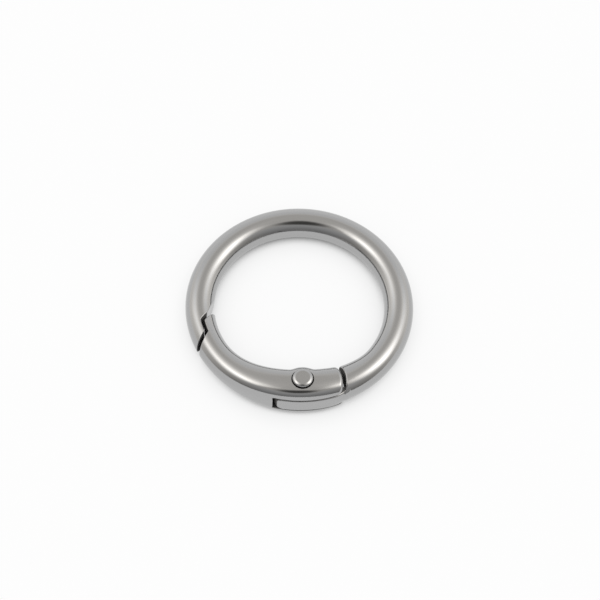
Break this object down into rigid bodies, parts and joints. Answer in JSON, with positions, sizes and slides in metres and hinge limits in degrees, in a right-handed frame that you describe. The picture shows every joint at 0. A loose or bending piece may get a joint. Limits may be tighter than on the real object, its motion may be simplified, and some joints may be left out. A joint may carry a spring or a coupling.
{
  "type": "spring gate ring",
  "caption": "Round snap ring of cast metal that opens inward at a sprung gate, with a riveted hinge and an interlocking hook.",
  "frame": {"origin": "centre of the ring, halfway up its section", "axes": "+Z along the ring's axis, on the side of the rivet's head; -Y from the centre towards the hinge; -X towards the hook"},
  "size_m": [0.0336, 0.0336, 0.0064],
  "materials": {
    "plated_zinc": "polished gunmetal plating on die-cast zinc",
    "plated_rivet": "gunmetal plating on a turned steel rivet",
    "spring_wire": "drawn spring steel"
  },
  "bodies": {
    "ring_frame": {"frame": "plated_zinc", "rivet": "plated_rivet", "spring": "spring_wire"},
    "gate": {"gate": "plated_zinc"}
  },
  "joints": [
    {"name": "gate_hinge", "type": "hinge", "parent": "ring_frame", "child": "gate", "pos_m": [0, -0.0138, 0], "axis": [0, 0, -1], "range_deg": [0, 30], "stiffness_Nm_per_rad": 0.015, "springref_deg": -45.84, "deforming": ["spring"]}
  ]
}
